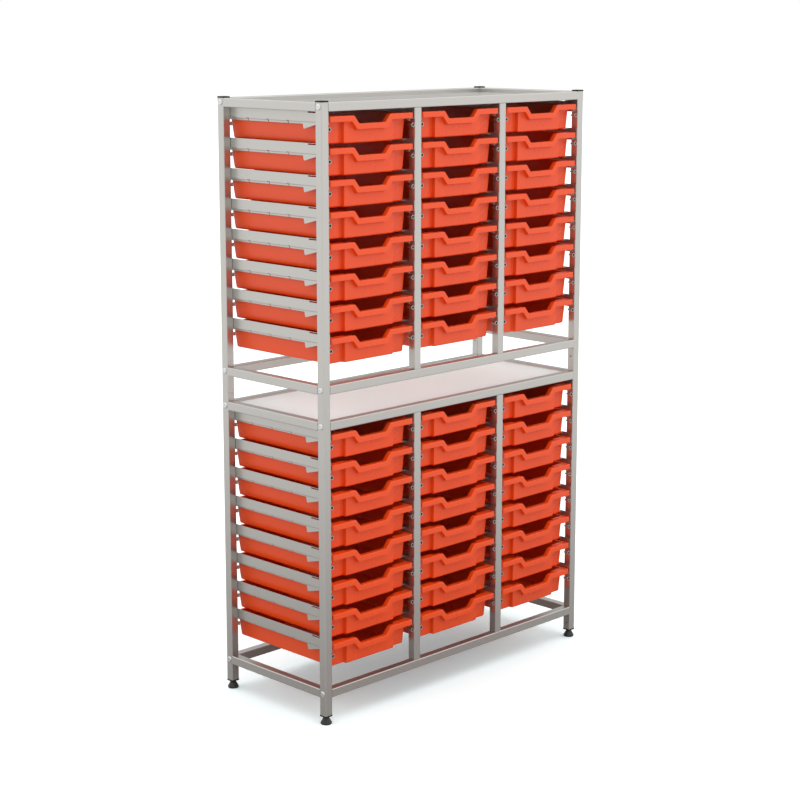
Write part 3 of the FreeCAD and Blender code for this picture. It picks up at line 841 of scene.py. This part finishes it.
GRAIN_DETAIL = 3.0
DRIFT_SCALE, DRIFT_DETAIL = 5.0, 4.0
grain, entry, leave = new_group(
    "surface_grain",
    [("Grain Size", "NodeSocketFloat", 900.0), ("Roughness", "NodeSocketFloat", 0.4),
     ("Roughness Drift", "NodeSocketFloat", 0.06)],
    [("Height", "NodeSocketFloat"), ("Roughness", "NodeSocketFloat"), ("Drift", "NodeSocketFloat")],
)
where = grain.nodes.new("ShaderNodeTexCoord")
fine = noise(grain, where.outputs["Object"], entry.outputs["Grain Size"], GRAIN_DETAIL)
slow = noise(grain, where.outputs["Object"], DRIFT_SCALE, DRIFT_DETAIL)
centred = math_node(grain, "SUBTRACT", slow, 0.5)
swing = math_node(grain, "MULTIPLY", centred, entry.outputs["Roughness Drift"])
grain.links.new(fine, leave.inputs["Height"])
grain.links.new(math_node(grain, "ADD", entry.outputs["Roughness"], swing), leave.inputs["Roughness"])
grain.links.new(slow, leave.inputs["Drift"])
print("group", grain.name, [s.name for s in grain.interface.items_tree])

# %% [markdown]
# ## Finishes
# A finish is a Principled shader with a grain group in front of it. Colour varies very little on powder
# coat and moulded plastic, so the two tones that the drift mixes between are close together. What tells
# them apart is gloss: the trays are glossy, the frame is satin, the caps and feet are matt.


# %% One function makes every finish
RELIEF_DEPTH = 0.2 * MM


def finish(name, light, dark, roughness, grain_size, bump, drift=0.06, metallic=0.0, specular=0.5):
    material = bpy.data.materials.new(name)
    material.use_nodes = True
    tree = material.node_tree
    shader = tree.nodes["Principled BSDF"]
    shader.inputs["Metallic"].default_value = metallic
    shader.inputs["Specular IOR Level"].default_value = specular
    surface = tree.nodes.new("ShaderNodeGroup")
    surface.node_tree = grain
    surface.inputs["Grain Size"].default_value = grain_size
    surface.inputs["Roughness"].default_value = roughness
    surface.inputs["Roughness Drift"].default_value = drift
    tone = tree.nodes.new("ShaderNodeMix")
    tone.data_type = "RGBA"
    tone.inputs["A"].default_value = (*dark, 1)
    tone.inputs["B"].default_value = (*light, 1)
    relief = tree.nodes.new("ShaderNodeBump")
    relief.inputs["Strength"].default_value = bump
    relief.inputs["Distance"].default_value = RELIEF_DEPTH
    tree.links.new(surface.outputs["Drift"], tone.inputs["Factor"])
    tree.links.new(tone.outputs["Result"], shader.inputs["Base Color"])
    tree.links.new(surface.outputs["Roughness"], shader.inputs["Roughness"])
    tree.links.new(surface.outputs["Height"], relief.inputs["Height"])
    tree.links.new(relief.outputs["Normal"], shader.inputs["Normal"])
    return material


print("relief depth", RELIEF_DEPTH)

# %% The finishes of this unit
COATED_STEEL = {"grain_size": 1500, "bump": 0.10, "metallic": 0.9}
BLACK_PLASTIC = {"grain_size": 1300, "bump": 0.25}
finishes = {
    "frame_paint": finish("frame_powder_coat", (0.575, 0.56, 0.53), (0.55, 0.535, 0.505), 0.29, **COATED_STEEL),
    "runner_paint": finish("runner_powder_coat", (0.57, 0.555, 0.525), (0.545, 0.53, 0.50), 0.34, **COATED_STEEL),
    # The shelf's white is a little short of red: painted light that cancels the red light the trays send onto it.
    "shelf_paint": finish(
        "white_coat_tinted_against_red", (0.83, 0.88, 0.88), (0.81, 0.86, 0.86), 0.45, 1500, 0.10, specular=0.35),
    # The top panel's coat is the frame's grey made a little darker: painted shade for the recessed panel.
    "top_paint": finish("top_powder_coat_shaded", (0.56, 0.545, 0.52), (0.53, 0.515, 0.49), 0.34, **COATED_STEEL),
    "tray_plastic": finish(
        "orange_moulded_plastic", (0.88, 0.077, 0.0066), (0.86, 0.073, 0.0061), 0.28, 2200, 0.03, 0.08),
    "cap_plastic": finish(
        "black_cap_plastic", (0.011, 0.010, 0.010), (0.007, 0.007, 0.006), 0.6, specular=0.3, **BLACK_PLASTIC),
    "plug_plastic": finish(
        "black_insert_plastic", (0.012, 0.011, 0.010), (0.008, 0.007, 0.007), 0.6, specular=0.3, **BLACK_PLASTIC),
    "bolt_steel": finish(
        "bright_zinc", (0.76, 0.765, 0.76), (0.70, 0.705, 0.70), 0.36, 700, 0.05, 0.10, metallic=1.0),
    "foot_plastic": finish(
        "black_foot_plastic", (0.021, 0.019, 0.018), (0.014, 0.013, 0.012), 0.5, **BLACK_PLASTIC),
}
slot_of = {part["node"]: part["material_slot"] for part in frame["record"]["subparts"]}
for piece in bpy.data.objects:
    if piece.type != "MESH":
        continue
    slot = piece.get("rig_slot") or slot_of.get(piece.get("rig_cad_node"))
    piece.data.materials.clear()
    piece.data.materials.append(finishes[slot])
print("finishes", len(finishes), "on", len(bpy.data.meshes), "meshes")

# %% [markdown]
# ## Floor and sky
# The unit stands in a white studio. The floor and the sky are bright where the camera sees them directly,
# and darker for the light that they send back to the unit, so that its lower half stays darker than its
# top. Lamps could light it too, but they would put spots on the tubes. A sky does nearly all of the
# lighting instead, as a white tent round the unit would: it is strongest overhead and weaker to the left
# and behind.


# %% Helpers for the floor and the sky
def two_faced(tree, seen, lit):
    """Mixes what the camera sees with what lights the unit."""
    path = tree.nodes.new("ShaderNodeLightPath")
    mix = tree.nodes.new("ShaderNodeMixShader")
    tree.links.new(path.outputs["Is Camera Ray"], mix.inputs["Fac"])
    tree.links.new(lit, mix.inputs[1])
    tree.links.new(seen, mix.inputs[2])
    return mix.outputs["Shader"]


def map_range(tree, source, low, high, low_result, high_result):
    """A value that follows its source between two limits, and stays level outside them."""
    node = tree.nodes.new("ShaderNodeMapRange")
    for label, number in zip(("From Min", "From Max", "To Min", "To Max"), (low, high, low_result, high_result)):
        node.inputs[label].default_value = number
    tree.links.new(source, node.inputs["Value"])
    return node.outputs["Result"]


def facing(tree, source, aim):
    """How far a direction agrees with another one: 1 where they are the same."""
    node = tree.nodes.new("ShaderNodeVectorMath")
    node.operation = "DOT_PRODUCT"
    node.inputs[1].default_value = aim
    tree.links.new(source, node.inputs[0])
    return node.outputs["Value"]


# %% The floor
FLOOR_REACH = 30.0
# Where the camera sees it, the floor is white a little short of red and glows weakly blue-green: painted light that
# lifts its shadow and cancels the red light bounced from the trays.
FLOOR_SEEN = (1.0, 0.975, 0.978, 1)
# What the floor sends back near the unit is dark grey: a painted shadow round the unit.
FLOOR_SENT_BACK = (0.38, 0.38, 0.38, 1)
SHADOW_LIFT_COLOUR, SHADOW_LIFT_STRENGTH = (0.38, 0.97, 1.0, 1), 0.17
NEAR, FAR = 0.8, 5.0


def floor_material():
    """White where it is seen, with a weak blue-green glow that is painted light: it lifts the floor's shadow and
    cancels the red light from the trays. What it sends back is dark near the unit, which is a painted shadow, and
    glows as bright as the sky far off.
    """
    material = bpy.data.materials.new("studio_floor")
    material.use_nodes = True
    tree = material.node_tree
    tree.nodes.remove(tree.nodes["Principled BSDF"])
    shades = []
    for colour in (FLOOR_SEEN, FLOOR_SENT_BACK):
        shade = tree.nodes.new("ShaderNodeBsdfDiffuse")
        shade.inputs["Color"].default_value = colour
        shades.append(shade.outputs["BSDF"])
    glow, seen = tree.nodes.new("ShaderNodeEmission"), tree.nodes.new("ShaderNodeAddShader")
    glow.inputs["Color"].default_value = SHADOW_LIFT_COLOUR
    glow.inputs["Strength"].default_value = SHADOW_LIFT_STRENGTH
    tree.links.new(shades[0], seen.inputs[0])
    tree.links.new(glow.outputs["Emission"], seen.inputs[1])
    where = tree.nodes.new("ShaderNodeTexCoord")
    distance = tree.nodes.new("ShaderNodeVectorMath")
    distance.operation = "LENGTH"
    tree.links.new(where.outputs["Object"], distance.inputs[0])
    far = tree.nodes.new("ShaderNodeEmission")
    lit = tree.nodes.new("ShaderNodeMixShader")
    tree.links.new(map_range(tree, distance.outputs["Value"], NEAR, FAR, 0.0, 1.0), lit.inputs["Fac"])
    tree.links.new(shades[1], lit.inputs[1])
    tree.links.new(far.outputs["Emission"], lit.inputs[2])
    surface = two_faced(tree, seen.outputs["Shader"], lit.outputs["Shader"])
    tree.links.new(surface, tree.nodes["Material Output"].inputs["Surface"])
    return material


floor_mesh = bpy.data.meshes.new("floor")
floor_corners = [(x * FLOOR_REACH, y * FLOOR_REACH, 0) for x, y in ((-1, -1), (1, -1), (1, 1), (-1, 1))]
floor_mesh.from_pydata(floor_corners, [], [(0, 1, 2, 3)])
floor = bpy.data.objects.new("floor", floor_mesh)
bpy.context.scene.collection.objects.link(floor)
floor_mesh.materials.append(floor_material())
floor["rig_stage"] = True
print("floor reaches", FLOOR_REACH, "m each way")

# %% The sky
HORIZON_LIGHT, OVERHEAD_LIGHT = 1.10, 1.60
LEFT, LEFT_LIGHT = (-0.958, -0.287, 0), 0.6
BEHIND, BEHIND_LIGHT = (0.68, 0.68, 0.27), 0.45

world = bpy.data.worlds.new("studio")
bpy.context.scene.world = world
world.use_nodes = True
tree = world.node_tree
tree.nodes.clear()
backdrop, sky = tree.nodes.new("ShaderNodeBackground"), tree.nodes.new("ShaderNodeBackground")
backdrop.inputs["Color"].default_value = sky.inputs["Color"].default_value = (1, 1, 1, 1)
direction = tree.nodes.new("ShaderNodeTexCoord").outputs["Generated"]
height = tree.nodes.new("ShaderNodeSeparateXYZ")
tree.links.new(direction, height.inputs["Vector"])
climb = map_range(tree, height.outputs["Z"], 0.1, 0.9, HORIZON_LIGHT, OVERHEAD_LIGHT)
shade = map_range(tree, facing(tree, direction, LEFT), 0.6, 0.95, 1.0, LEFT_LIGHT)
dusk = map_range(tree, facing(tree, direction, BEHIND), 0.75, 0.97, 1.0, BEHIND_LIGHT)
light = math_node(tree, "MULTIPLY", math_node(tree, "MULTIPLY", climb, shade), dusk)
tree.links.new(light, sky.inputs["Strength"])
seen_and_lit = two_faced(tree, backdrop.outputs["Background"], sky.outputs["Background"])
tree.links.new(seen_and_lit, tree.nodes.new("ShaderNodeOutputWorld").inputs["Surface"])
print("sky nodes", len(tree.nodes))

# %% [markdown]
# ## A lamp for the shelf
# The sky hardly reaches the shelf between the two frames, and the trays round it send it red light. A wide
# weak area lamp over it helps with both. Its light is a little blue-green, to offset the red. It hangs under
# the upper frame's rails, and neither the camera nor a reflection sees it.

# %% The shelf lamp
LAMP_WIDTH, LAMP_DEPTH, LAMP_GAP = 1.0, 0.36, 5 * MM
LAMP_POWER, LAMP_COLOUR = 0.66, (0.70, 1.0, 1.0)
lamp = bpy.data.lights.new("shelf_lamp", "AREA")
lamp.shape, lamp.size, lamp.size_y = "RECTANGLE", LAMP_WIDTH, LAMP_DEPTH
lamp.energy, lamp.color = LAMP_POWER, LAMP_COLOUR
shelf_lamp = bpy.data.objects.new("shelf_lamp", lamp)
bpy.context.scene.collection.objects.link(shelf_lamp)
shelf_lamp.location = (0, 0, base["upper"] + LOW_RAIL - HALF_TUBE - LAMP_GAP)
shelf_lamp.visible_camera = shelf_lamp.visible_glossy = False
print("shelf lamp at", round(shelf_lamp.location.z, 3))

# %% [markdown]
# ## Camera
# The camera stands in front of the left corner, a little above the unit, and looks down by ten degrees. A
# level camera with a large shift would keep the posts parallel, but other views keep the camera's shift,
# and a large one would put the unit off centre there. So the camera is tilted, and its shift stays small.

# %% The camera
YAW, PITCH = math.radians(44.970), math.radians(10.077)
EYE = (-3.820, -3.791, 1.941)
LENS, SENSOR, SHIFT = 82.76, 36.0, -0.07
VIEW_END = 100
camera = bpy.data.cameras.new("camera")
camera.lens, camera.sensor_width, camera.shift_y = LENS, SENSOR, SHIFT
camera.clip_end = VIEW_END
eye = bpy.data.objects.new("camera", camera)
bpy.context.scene.collection.objects.link(eye)
eye.location = EYE
gaze = Vector((math.sin(YAW) * math.cos(PITCH), math.cos(YAW) * math.cos(PITCH), -math.sin(PITCH)))
eye.rotation_euler = gaze.to_track_quat("-Z", "Y").to_euler()
bpy.context.scene.camera = eye
bpy.context.scene.view_settings.view_transform = "Standard"
print("camera", tuple(round(c, 3) for c in eye.location))

# %% Print the dressed size, and finish
low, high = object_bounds()
print("size", [round(v, 4) for v in (*low, *high)])
